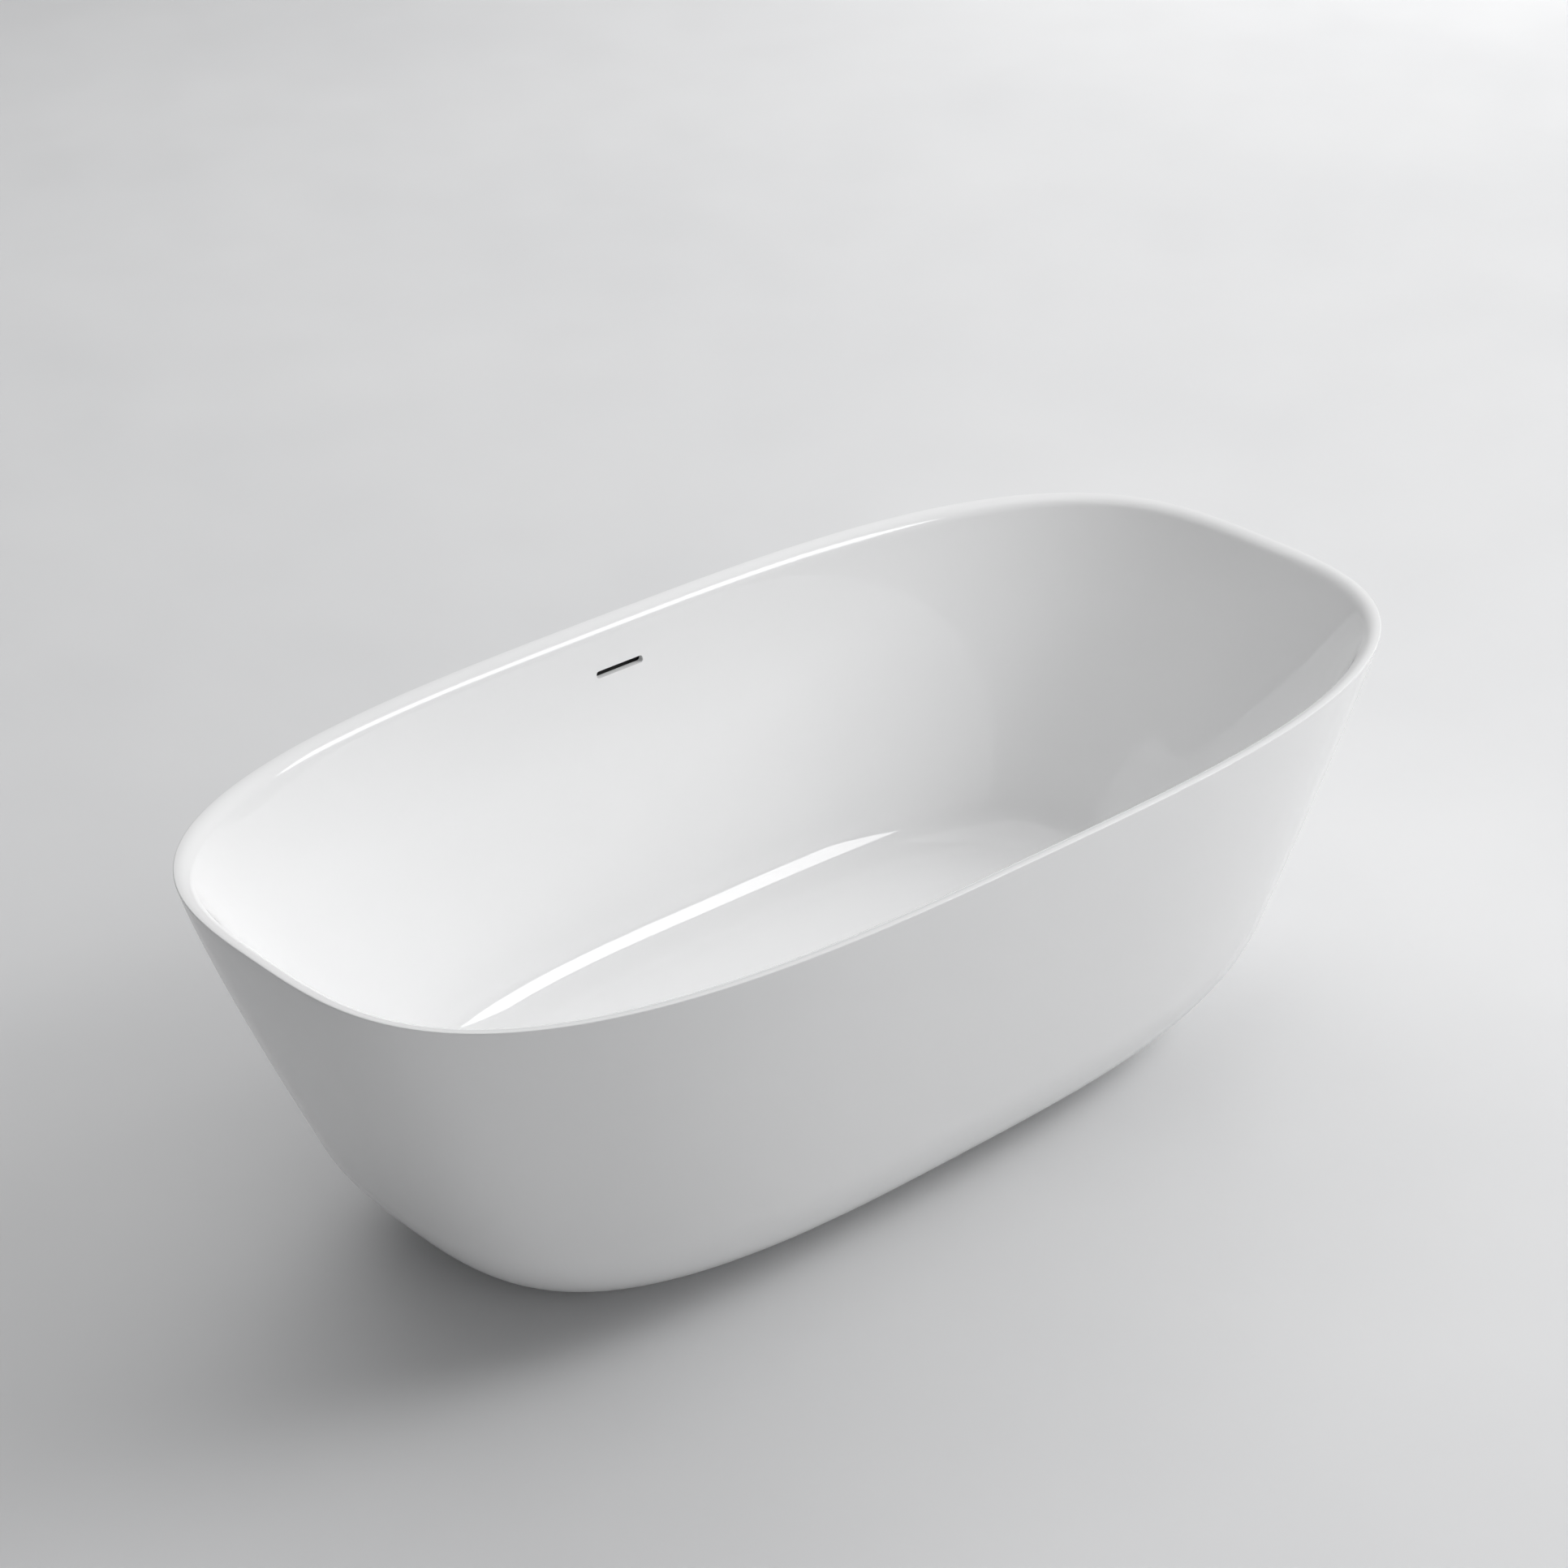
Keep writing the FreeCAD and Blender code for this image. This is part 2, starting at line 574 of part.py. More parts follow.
def make_waste_body():
    """The tee under the floor: neck socket, chamber, overflow inlet towards +Y and outlet straight down."""
    top = f"({BOARD_TOP} - dims.washer_height)"
    outlet_height = "dims.body_bottom + dims.body_floor - dims.outlet_bottom"
    cup = cylinder("tee_cup", "dims.body_radius", f"{top} - dims.body_bottom", "dims.body_bottom")
    inlet = level_cylinder("tee_inlet", "dims.hose_bore - dims.running_gap", "dims.inlet_reach", (0, 1, 0),
                           "0", "0", "dims.inlet_level")
    outlet = cylinder("tee_outlet", "dims.outlet_radius", outlet_height, "dims.outlet_bottom")
    chamber = cylinder("tee_chamber", "dims.body_bore",
                       "dims.collar_bottom - dims.body_bottom - dims.body_floor",
                       "dims.body_bottom + dims.body_floor")
    socket = cylinder("tee_socket", "dims.neck_radius + dims.running_gap", f"{top} - dims.collar_bottom",
                      "dims.collar_bottom")
    inlet_bore = level_cylinder("tee_inlet_bore", "dims.hose_bore - dims.spigot_wall", "dims.inlet_reach",
                                (0, 1, 0), "0", "0", "dims.inlet_level")
    outlet_bore = cylinder("tee_outlet_bore", "dims.outlet_bore", outlet_height, "dims.outlet_bottom")
    outside = fused("tee_outside", [cup, inlet, outlet])
    return cut("waste_body", outside, fused("tee_inside", [chamber, socket, inlet_bore, outlet_bore]))


def make_plug():
    cap_plate = cylinder("cap_disc", "dims.cap_radius", "dims.cap_plate_height", CAP_LEVEL)
    crown = doc.addObject("Part::Cone", "cap_crown_cone")
    bind(crown, Radius1="dims.cap_radius", Radius2="dims.cap_radius - dims.cap_slope",
         Height="dims.cap_crown", at_z=f"{CAP_LEVEL} + dims.cap_plate_height")
    boss = cylinder("cap_boss", "dims.boss_radius", "dims.boss_height", f"{CAP_LEVEL} - dims.boss_height")
    hole = cylinder("cap_hole", "dims.stem_radius + dims.running_gap", "dims.boss_height",
                    f"{CAP_LEVEL} - dims.boss_height")
    cut("plug_cap", fused("cap_outside", [cap_plate, crown, boss]), hole)
    ring("plug_seal", "dims.seal_outer", "dims.seal_inner", "dims.seal_height", FLANGE_TOP)
    rod = cylinder("stem_rod", "dims.stem_radius", f"{CAP_LEVEL} - dims.stem_bottom", "dims.stem_bottom")
    shoulder = cylinder("stem_collar", "dims.stem_shoulder", "dims.shoulder_height", "dims.stem_bottom")
    fused("plug_stem", [rod, shoulder])


def make_cartridge():
    barrel = cylinder("barrel_solid", "dims.cartridge_radius", "dims.cartridge_top - dims.cartridge_bottom",
                      "dims.cartridge_bottom")
    bore = cylinder("barrel_bore", "dims.cartridge_bore",
                    "dims.cartridge_top - dims.cartridge_bottom - 2 * dims.cartridge_end",
                    "dims.cartridge_bottom + dims.cartridge_end")
    guide = cylinder("barrel_guide", "dims.stem_radius + dims.running_gap", "2 * dims.cartridge_end",
                     "dims.cartridge_top - 2 * dims.cartridge_end")
    cut("plug_cartridge", barrel, fused("barrel_inside", [bore, guide]))


def make_plug_spring():
    """The coil that lifts the stem, from the cartridge's floor to the stem's shoulder."""
    wire, radius = size("spring_wire"), size("spring_radius")
    low = size("cartridge_bottom") + size("cartridge_end") + wire
    length = size("stem_bottom") - wire - low
    spine = Part.makeHelix(length / size("spring_turns"), length, radius)
    profile = Part.Wire([Part.makeCircle(wire, FreeCAD.Vector(radius, 0, 0), Y_AXIS)])
    coil = Part.Wire(spine.Edges).makePipeShell([profile], True, True)
    coil.translate(FreeCAD.Vector(0, 0, low))
    return shaped("plug_spring", coil)


# ---------------------------------------------------------------- overflow

def duct_frame():
    """Where the slot meets the basin's back face, the wall's tilt, and the down and outward ways."""
    wall_y, tilt = wall_at_side(size("slot_level"))
    origin = FreeCAD.Vector(0, wall_y + size("basin_wall") / math.cos(tilt), size("slot_level"))
    down = FreeCAD.Vector(0, -math.sin(tilt), -math.cos(tilt))
    outward = FreeCAD.Vector(0, math.cos(tilt), -math.sin(tilt))
    return origin, tilt, down, outward


def duct_box(width, top, bottom, near, far):
    """A box against the back of the long wall, from top to bottom along it and near to far from it."""
    origin, tilt = duct_frame()[:2]
    solid = Part.makeBox(width, far - near, bottom - top, FreeCAD.Vector(-width / 2, near, -bottom))
    solid.Placement = FreeCAD.Placement(origin, FreeCAD.Rotation(X_AXIS, -math.degrees(tilt)))
    return solid


def spigot_line():
    """Start, end and direction of the spigot under the duct's sump."""
    origin, _, down, outward = duct_frame()
    middle = origin + outward * (size("seal_thickness") + size("sump_depth") / 2)
    below = size("duct_below")
    return middle + down * (below - size("duct_wall")), middle + down * (below + size("duct_spigot")), down


def make_overflow_duct():
    """A flat box against the wall, open towards it, with a deeper sump and a hose spigot at its foot."""
    seal, wall, below = size("seal_thickness"), size("duct_wall"), size("duct_below")
    width, above, sump_width = size("duct_width"), size("duct_above"), size("sump_width")
    sump_top = below - size("sump_height")
    far, sump_far = seal + size("duct_depth"), seal + size("sump_depth")
    outside = duct_box(width, -above, below, seal, far)
    outside = outside.fuse(duct_box(sump_width, sump_top, below, seal, sump_far))
    hollow = duct_box(width - 2 * wall, wall - above, below - wall, seal, far - wall)
    sump_inside = duct_box(sump_width - 2 * wall, sump_top + wall, below - wall, seal, sump_far - wall)
    hollow = hollow.fuse(sump_inside)
    start, end, down = spigot_line()
    length = (end - start).Length
    spigot = Part.makeCylinder(size("hose_bore") - size("running_gap"), length, start, down)
    bore = Part.makeCylinder(size("hose_bore") - size("spigot_wall"), length, start, down)
    return shaped("overflow_duct", outside.cut(hollow).fuse(spigot).cut(bore))


def make_overflow_gasket():
    width, above, below = size("duct_width"), size("duct_above"), size("duct_below")
    near, far, rim = size("seal_gap"), size("seal_thickness"), 2 * size("duct_wall")
    solid = duct_box(width, -above, below, near, far)
    window = duct_box(width - 2 * rim, rim - above, below - rim, near, far)
    return shaped("overflow_gasket", solid.cut(window))


def hose_points():
    """Corners of the overflow hose's route, down between the walls and under the board to the tee."""
    _, end, down = spigot_line()
    low_level = size("inlet_level")
    places = ((322, 170), (290, 95), (225, low_level), (size("body_radius") + 3, low_level))
    start = end - down * (size("duct_spigot") - 2)
    return [start, end + down * size("duct_spigot")] + [FreeCAD.Vector(0, y, z) for y, z in places]


def routed_tube(points, radius):
    """A round rod along straight runs joined by tangent arcs, and the length of its middle line."""
    edges = []
    last = points[0]
    for before, corner, after in zip(points, points[1:], points[2:]):
        back, forward = (before - corner).normalize(), (after - corner).normalize()
        turn = math.pi - back.getAngle(forward)
        trim = 0.45 * min((before - corner).Length, (after - corner).Length)
        bend = trim / math.tan(turn / 2)
        start, end = corner + back * trim, corner + forward * trim
        middle = corner + (back + forward).normalize() * (bend / math.cos(turn / 2) - bend)
        edges.append(Part.LineSegment(last, start).toShape())
        edges.append(Part.Arc(start, middle, end).toShape())
        last = end
    edges.append(Part.LineSegment(last, points[-1]).toShape())
    path = Part.Wire(edges)
    section = Part.Wire([Part.makeCircle(radius, points[0], points[1] - points[0])])
    return path.makePipeShell([section], True, False), path.Length


def make_overflow_hose():
    outside, length = routed_tube(hose_points(), size("hose_radius"))
    inside = routed_tube(hose_points(), size("hose_bore"))[0]
    hose = outside.cut(inside)
    expected = math.pi * (size("hose_radius") ** 2 - size("hose_bore") ** 2) * length
    print("overflow hose: length", round(length, 1), "volume ratio", round(hose.Volume / expected, 4))
    return shaped("overflow_hose", hose)


def hose_clip(middle, axis, side):
    """A worm-drive band round the hose, with its screw housing on the named side."""
    band, width, inner = size("clip_band"), size("clip_width"), size("hose_radius") + size("clip_gap")
    start = middle - axis * (width / 2)
    clip = Part.makeCylinder(inner + band, width, start, axis)
    screw_way = axis.cross(side)
    screw_length = size("clip_screw_length")
    screw_start = middle + side * (inner + size("clip_screw_standoff")) - screw_way * (screw_length / 2)
    clip = clip.fuse(Part.makeCylinder(size("clip_screw_radius"), screw_length, screw_start, screw_way))
    return clip.cut(Part.makeCylinder(inner, width, start, axis))


def make_hose_clips():
    _, end, down = spigot_line()
    upper = hose_clip(end - down * (size("duct_spigot") / 2), down, X_AXIS)
    lower_y = size("inlet_reach") - size("duct_spigot") / 2
    lower = hose_clip(FreeCAD.Vector(0, lower_y, size("inlet_level")), Y_AXIS, X_AXIS)
    return shaped("hose_clips", Part.makeCompound([upper, lower]))


# ---------------------------------------------------------------- build, check, write

make_basin_shell()
make_apron_shell()
make_base_board()
make_rail("frame_rail_front", -1)
make_rail("frame_rail_back", 1)
make_cross("frame_cross_left", -1)
make_cross("frame_cross_right", 1)
make_tube_caps()
make_frame_screws()
make_apron_braces()
for corner_name, corner_sides in FOOT_SIDES.items():
    make_foot(corner_name, corner_sides)
make_nuts("frame_weld_nuts", "dims.nut_height", CROSS_TOP)
make_nuts("foot_jam_nuts", "dims.jam_height", f"{CROSS_BOTTOM} - dims.jam_height")
make_waste_flange()
make_waste_seals()
make_waste_body()
make_plug()
make_cartridge()
make_plug_spring()
make_overflow_duct()
make_overflow_gasket()
make_overflow_hose()
make_hose_clips()
doc.recompute()

NODES = [
    "basin_shell", "apron_shell", "base_board", "frame_rail_front", "frame_rail_back", "frame_cross_left",
    "frame_cross_right", "tube_end_caps", "frame_screws", "apron_braces", "frame_weld_nuts",
    "foot_jam_nuts", "waste_flange", "waste_gasket", "waste_washer", "waste_body", "plug_cap", "plug_seal",
    "plug_stem", "plug_cartridge", "plug_spring", "overflow_duct", "overflow_gasket",
    "overflow_hose", "hose_clips",
] + [f"foot_{piece}_{corner}" for piece in ("sole", "cup", "stud") for corner in FOOT_SIDES]

failed = [thing.Name for thing in doc.Objects if {"Invalid", "Error"} & set(thing.State)]
if failed:
    raise RuntimeError(f"objects that did not build: {failed}")

os.makedirs("parts", exist_ok=True)
for node in NODES:
    item = doc.getObject(node)
    item.Label = node
    shape = item.Shape
    if shape.isNull() or not shape.isValid() or not shape.Solids:
        raise RuntimeError(f"{node} has no valid solid")
    shape.exportStep(f"parts/{node}.step")
    print(node, len(shape.Solids), round(shape.Volume / 1000, 2), "cm3")
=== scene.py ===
"""Looks of the freestanding bathtub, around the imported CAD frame. Metres, +Z up, +Y towards the overflow."""

import json
import math

import bmesh
import bpy
import numpy as np
from mathutils import Matrix, Vector
from mathutils.bvhtree import BVHTree


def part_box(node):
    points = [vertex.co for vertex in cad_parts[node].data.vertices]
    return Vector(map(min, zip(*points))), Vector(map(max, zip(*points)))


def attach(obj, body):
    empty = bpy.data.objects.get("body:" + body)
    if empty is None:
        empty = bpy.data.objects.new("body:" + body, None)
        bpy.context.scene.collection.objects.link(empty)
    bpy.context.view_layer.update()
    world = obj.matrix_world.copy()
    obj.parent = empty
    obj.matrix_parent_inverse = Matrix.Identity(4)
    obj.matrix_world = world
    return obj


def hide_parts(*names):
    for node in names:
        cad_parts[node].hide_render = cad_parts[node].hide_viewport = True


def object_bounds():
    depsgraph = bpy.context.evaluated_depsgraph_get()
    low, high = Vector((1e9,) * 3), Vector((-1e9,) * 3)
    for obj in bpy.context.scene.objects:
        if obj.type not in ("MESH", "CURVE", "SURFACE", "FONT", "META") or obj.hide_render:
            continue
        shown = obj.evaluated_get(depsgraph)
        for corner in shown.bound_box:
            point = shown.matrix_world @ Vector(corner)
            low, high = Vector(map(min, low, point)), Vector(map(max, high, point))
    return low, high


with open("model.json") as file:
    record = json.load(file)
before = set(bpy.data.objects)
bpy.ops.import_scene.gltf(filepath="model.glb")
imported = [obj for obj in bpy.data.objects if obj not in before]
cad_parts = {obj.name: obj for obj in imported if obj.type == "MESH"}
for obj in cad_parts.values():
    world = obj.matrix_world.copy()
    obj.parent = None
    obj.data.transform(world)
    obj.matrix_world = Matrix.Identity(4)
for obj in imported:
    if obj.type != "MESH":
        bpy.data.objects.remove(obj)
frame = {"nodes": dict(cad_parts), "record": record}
cad_low, cad_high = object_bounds()
NODES = frame["nodes"]
MM = 0.001
ROUNDING = 1e-12

# ---------------------------------------------------------------- driving sizes, as the CAD has them

OUTLINE_POWER = 3.06
TUB_HALF = (0.850, 0.425)
TUB_TOP = cad_high.z
SKIRT_FOOT = (0.6255, 0.313)
SKIRT_BOW = (1.14, 1.02)
TUCK_RADIUS = 0.165
SKIRT_WALL = 0.005
SKIRT_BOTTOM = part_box("apron_shell")[0].z
SEAM_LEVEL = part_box("apron_shell")[1].z
RIM_FLAT = 0.0025
ROLL_RADIUS = 0.0245
EDGE_RADIUS = 0.0015
BASIN_WALL = 0.008
UNDER_RIM_INSET = 0.004
INSIDE_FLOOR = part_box("basin_shell")[0].z + BASIN_WALL
FLOOR_EDGE = (0.530, 0.224)
FLOOR_FILLET = 0.075
DRAIN_HOLE = 0.025
SLOT_LENGTH = 0.080
SLOT_HEIGHT = 0.0092
SLOT_LEVEL = 0.497
SLOT_CUT_REACH = 0.02

CAP_BOSS_HEIGHT = 0.010
CAP_BOSS = 0.007
CAP_HOLE = 0.00405
CAP_EDGE = 0.0014
BOSS_CHAMFER = 0.0004
SPIGOT_RADIUS = 0.005
SPIGOT_LENGTH = 0.009
SPIGOT_CHAMFER = 0.0005
HEX_HEIGHT = 0.008
HEX_FLATS = 0.017
THREAD_RADIUS = 0.00595
THREAD_DEPTH = 0.0009
THREAD_LEAD_IN = 0.0006
THREAD_PITCH = 0.00175
THREAD_ROOT_WIDENING = 1.2
HOSE_RADIUS = 0.010
HOSE_RIB_PITCH = 0.0045
HOSE_RIB_DEPTH = 0.0009
HOSE_CUFF = 0.024
HOSE_SKIN = 0.0012
HOSE_OFF_WALL = 0.0125
HOSE_FROM_SLOT = 0.214
HOSE_ON_SPIGOT = 0.022
HOSE_BEND_SHARE = 0.45
SPIGOT_REACH = 0.024
HOSE_CORNERS = ((0.322, 0.170), (0.290, 0.095), (0.225, 0.062), (0.034, 0.062))

# how finely the meshes are drawn
ROUND_POINTS = 480
BEND_POINTS = 24
SPIGOT_STEPS = 32
HEX_STEPS = 72
THREAD_ROWS_PER_TURN = 8
THREAD_COLUMNS = 28
RINGS_PER_RIB = 6
HOSE_COLUMNS = 32


# ---------------------------------------------------------------- the tub's curved walls

def signed_power(numbers, power):
    return np.copysign(np.abs(numbers) ** power, numbers)


def outline(angles, half_x, half_y):
    """Points of the bowed-rectangle outline (a superellipse) and its outward normals, one row per angle."""
    c, s = np.cos(angles), np.sin(angles)
    c[np.abs(c) < ROUNDING] = 0
    s[np.abs(s) < ROUNDING] = 0
    points = np.stack([half_x * signed_power(c, 2 / OUTLINE_POWER),
                       half_y * signed_power(s, 2 / OUTLINE_POWER)], axis=1)
    normals = np.stack([signed_power(c, 2 - 2 / OUTLINE_POWER) / half_x,
                        signed_power(s, 2 - 2 / OUTLINE_POWER) / half_y], axis=1)
    return points, normals / np.linalg.norm(normals, axis=1)[:, None]


def even_angles(count):
    """Angles whose points are evenly spaced along the rim."""
    fine = np.linspace(0, 2 * math.pi, 40001)
    points = outline(fine.copy(), *TUB_HALF)[0]
    run = np.concatenate([[0], np.cumsum(np.linalg.norm(np.diff(points, axis=0), axis=1))])
    return np.interp(np.arange(count) / count * run[-1], run, fine)


ANGLES = even_angles(ROUND_POINTS)


def ring(points, level):
    return np.column_stack([points, np.full(len(points), level) if np.isscalar(level) else level])


def skirt_line(level):
    left = 1 - level / TUB_TOP
    return [foot + (top - foot) * (1 - max(left, 0) ** bow)
            for foot, top, bow in zip(SKIRT_FOOT, TUB_HALF, SKIRT_BOW)]


def skirt_ring(level, depth):
    """The skirt at a level, depth inside its outer face."""
    tuck = depth
    if level < TUCK_RADIUS:
        tuck = TUCK_RADIUS - math.sqrt((TUCK_RADIUS - depth) ** 2 - (TUCK_RADIUS - level) ** 2)
    half_x, half_y = skirt_line(level)
    return ring(outline(ANGLES.copy(), half_x - tuck, half_y - tuck)[0], level)


def skirt_levels():
    start = math.acos((TUCK_RADIUS - SKIRT_BOTTOM) / TUCK_RADIUS)
    turns = np.linspace(start, math.pi / 2, 26)
    tuck = TUCK_RADIUS * (1 - np.cos(turns))
    return list(tuck) + list(np.linspace(TUCK_RADIUS, SEAM_LEVEL, 40)[1:])


RIM, RIM_NORMAL = outline(ANGLES.copy(), *TUB_HALF)
FLOOR = outline(ANGLES.copy(), *FLOOR_EDGE)[0]
REACH = np.sum((RIM - FLOOR) * RIM_NORMAL, axis=1)


def basin_ring(inward, level):
    """Points inward from the rim outline, swung round so that each line ends at the floor's edge."""
    straight = RIM - RIM_NORMAL * inward[:, None]
    swing = FLOOR - (RIM - RIM_NORMAL * REACH[:, None])
    return ring(straight + swing * ((inward / REACH) ** 2)[:, None], level)


def wall_tilts():
    """Angle from upright of each line that touches the rim's roll and the floor's fillet."""
    across = REACH - RIM_FLAT
    down = TUB_TOP - ROLL_RADIUS - INSIDE_FLOOR - FLOOR_FILLET
    return np.arccos((ROLL_RADIUS + FLOOR_FILLET) / np.hypot(across, down)) - np.arctan2(down, across)


TILTS = wall_tilts()


def inner_rings(depth):
    """Rings from the rim's flat down to the floor's edge, depth behind the inner face."""
    roll, fillet = ROLL_RADIUS - depth, FLOOR_FILLET + depth
    roll_level, fillet_level = TUB_TOP - ROLL_RADIUS, INSIDE_FLOOR + FLOOR_FILLET
    rings = []
    for share in np.linspace(0, 1, 19)[:-1]:
        turn = math.pi / 2 + (TILTS - math.pi / 2) * share
        rings.append(basin_ring(RIM_FLAT + roll * np.cos(turn), roll_level + roll * np.sin(turn)))
    top = (RIM_FLAT + roll * np.cos(TILTS), roll_level + roll * np.sin(TILTS))
    low = (REACH - fillet * np.cos(TILTS), fillet_level - fillet * np.sin(TILTS))
    for share in np.linspace(0, 1, 41)[:-1]:
        rings.append(basin_ring(*(a + (b - a) * share for a, b in zip(top, low))))
    for share in np.linspace(0, 1, 17):
        turn = TILTS + (math.pi / 2 - TILTS) * share
        rings.append(basin_ring(REACH - fillet * np.cos(turn), fillet_level - fillet * np.sin(turn)))
    return rings


def floor_rings(level, steps):
    """Rings from the floor's edge to the drain hole."""
    bearings = np.arctan2(FLOOR[:, 1], FLOOR[:, 0])
    hole = DRAIN_HOLE * np.stack([np.cos(bearings), np.sin(bearings)], axis=1)
    return [ring(FLOOR + (hole - FLOOR) * share, level) for share in np.linspace(0, 1, steps + 1)[1:]]


def outer_rim_rings():
    """Rings from the seam up the rim's outer side, over its rounded edge and in to the flat's end."""
    rings = [ring(outline(ANGLES.copy(), *skirt_line(level))[0], level)
             for level in np.linspace(SEAM_LEVEL, TUB_TOP - EDGE_RADIUS, 4)]
    for turn in np.linspace(0, math.pi / 2, 7)[1:]:
        level = TUB_TOP - EDGE_RADIUS * (1 - math.sin(turn))
        points, normals = outline(ANGLES.copy(), *skirt_line(level))
        rings.append(ring(points - normals * EDGE_RADIUS * (1 - math.cos(turn)), level))
    start = rings[-1]
    flat = basin_ring(np.full(ROUND_POINTS, RIM_FLAT), TUB_TOP)
    rings += [start + (flat - start) * share for share in (0.2, 0.4, 0.6, 0.8)]
    return rings


# ---------------------------------------------------------------- mesh building

def object_from(name, verts, faces):
    mesh = bpy.data.meshes.new(name)
    mesh.from_pydata([tuple(v) for v in verts], [], faces)
    mesh.validate()
    thing = bpy.data.objects.new(name, mesh)
    bpy.context.scene.collection.objects.link(thing)
    for polygon in mesh.polygons:
        polygon.use_smooth = True
    return thing


def grid_faces(rows, columns):
    """Quads of a closed ring grid, wound so that the first row is the outer, lower one."""
    faces = []
    for r in range(rows - 1):
        for c in range(columns):
            d = (c + 1) % columns
            faces.append((r * columns + c, r * columns + d, (r + 1) * columns + d, (r + 1) * columns + c))
    return faces


def capped_faces(rows, columns):
    """A ring grid's quads with a flat face on its first and last rings."""
    last = (rows - 1) * columns
    ends = [tuple(reversed(range(columns))), tuple(last + i for i in range(columns))]
    return grid_faces(rows, columns) + ends


def ring_normals(rings):
    """Smooth normals of a ring grid from its own differences."""
    grid = np.array(rings)
    around = np.roll(grid, -1, axis=1) - np.roll(grid, 1, axis=1)
    along = np.gradient(grid, axis=0)
    normals = np.cross(around, along)
    return normals / np.maximum(np.linalg.norm(normals, axis=2), ROUNDING)[:, :, None]


def closed_shell(name, front, back):
    """A closed shell, whose front rings run on into its reversed back rings, and its smooth normals."""
    back = list(reversed(back))
    rings = list(front) + back
    faces = grid_faces(len(rings), ROUND_POINTS)
    last = (len(rings) - 1) * ROUND_POINTS
    for c in range(ROUND_POINTS):
        d = (c + 1) % ROUND_POINTS
        faces.append((last + c, last + d, d, c))
    normals = np.concatenate([ring_normals(rows).reshape(-1, 3) for rows in (front, back)])
    return object_from(name, np.concatenate(rings), faces), normals


def lathe(name, profile, steps=96, centre=(0, 0)):
    """A turned piece: its profile runs in (radius, level) from its lower axis point to its upper one."""
    verts = []
    for radius, level in profile:
        for angle in np.linspace(0, 2 * math.pi, steps, endpoint=False):
            verts.append((centre[0] + radius * math.cos(angle), centre[1] + radius * math.sin(angle), level))
    thing = object_from(name, verts, grid_faces(len(profile), steps))
    mesh = thing.data
    work = bmesh.new()
    work.from_mesh(mesh)
    bmesh.ops.remove_doubles(work, verts=work.verts, dist=1e-6)
    bmesh.ops.recalc_face_normals(work, faces=work.faces)
    work.to_mesh(mesh)
    work.free()
    mesh.set_sharp_from_angle(angle=math.radians(35))
    return thing


def slot_cutter(wall_y):
    """The overflow slot's round-ended prism, along Y through the wall."""
    half, reach = SLOT_HEIGHT / 2, SLOT_LENGTH / 2 - SLOT_HEIGHT / 2
    loop = []
    for centre, first in ((reach, -math.pi / 2), (-reach, math.pi / 2)):
        for turn in np.linspace(first, first + math.pi, 17):
            loop.append((centre + half * math.cos(turn), SLOT_LEVEL + half * math.sin(turn)))
    count = len(loop)
    verts = [(x, wall_y + shift, z) for shift in (-SLOT_CUT_REACH, SLOT_CUT_REACH) for x, z in loop]
    faces = [tuple(range(count)), tuple(reversed(range(count, 2 * count)))]
    faces += [(i, i + count, (i + 1) % count + count, (i + 1) % count) for i in range(count)]
    thing = object_from("slot_cutter", verts, faces)
    work = bmesh.new()
    work.from_mesh(thing.data)
    bmesh.ops.recalc_face_normals(work, faces=work.faces)
    work.to_mesh(thing.data)
    work.free()
    return thing


def cut_slot(thing, normals):
    """Cuts the slot through the long wall. The cut mesh keeps the smooth normals of the uncut one."""
    corners = [tuple(p.vertices) for p in thing.data.polygons]
    tree = BVHTree.FromPolygons([v.co for v in thing.data.vertices], corners)
    places = np.array([v.co for v in thing.data.vertices])
    middle = int(np.argmin(np.abs(ANGLES - math.pi / 2)))
    wall_y = wall_y_at(middle, SLOT_LEVEL)
    cutter = slot_cutter(wall_y)
    thing.data.materials.append(bpy.data.materials.new("wall_mark"))
    cutter.data.materials.append(bpy.data.materials.new("tunnel_mark"))
    modifier = thing.modifiers.new("slot", "BOOLEAN")
    modifier.operation = "DIFFERENCE"
    modifier.solver = "EXACT"
    modifier.material_mode = "TRANSFER"
    modifier.object = cutter
    graph = bpy.context.evaluated_depsgraph_get()
    mesh = bpy.data.meshes.new_from_object(thing.evaluated_get(graph))
    thing.modifiers.remove(modifier)
    thing.data = mesh
    bpy.data.objects.remove(cutter)
    split = []
    for polygon in mesh.polygons:
        polygon.use_smooth = True
        for index in polygon.vertices:
            if polygon.material_index > 0:
                split.append(tuple(polygon.normal))
                continue
            spot = mesh.vertices[index].co
            face = corners[tree.find_nearest(spot)[2]]
            weights = 1 / (np.linalg.norm(places[list(face)] - np.array(spot), axis=1) + 1e-7) ** 2
            mixed = np.sum(normals[list(face)] * weights[:, None], axis=0)
            mixed /= np.linalg.norm(mixed)
            if np.dot(mixed, np.array(polygon.normal)) < 0.5:
                mixed = np.array(polygon.normal)
            split.append(tuple(mixed))
    for polygon in mesh.polygons:
        polygon.material_index = 0
    mesh.normals_split_custom_set(split)
    return thing


def wall_y_at(column, level):
    """Y of the inner wall's face at one column of the ring grid."""
    tilt = TILTS[column]
    start = RIM_FLAT + ROLL_RADIUS * math.cos(tilt)
    start_level = TUB_TOP - ROLL_RADIUS + ROLL_RADIUS * math.sin(tilt)
    return TUB_HALF[1] - start - (start_level - level) * math.tan(tilt)


# ---------------------------------------------------------------- materials

def new_material(name):
    material = bpy.data.materials.new(name)
    material.use_nodes = True
    nodes = material.node_tree.nodes
    return material, nodes, material.node_tree.links, nodes["Principled BSDF"]


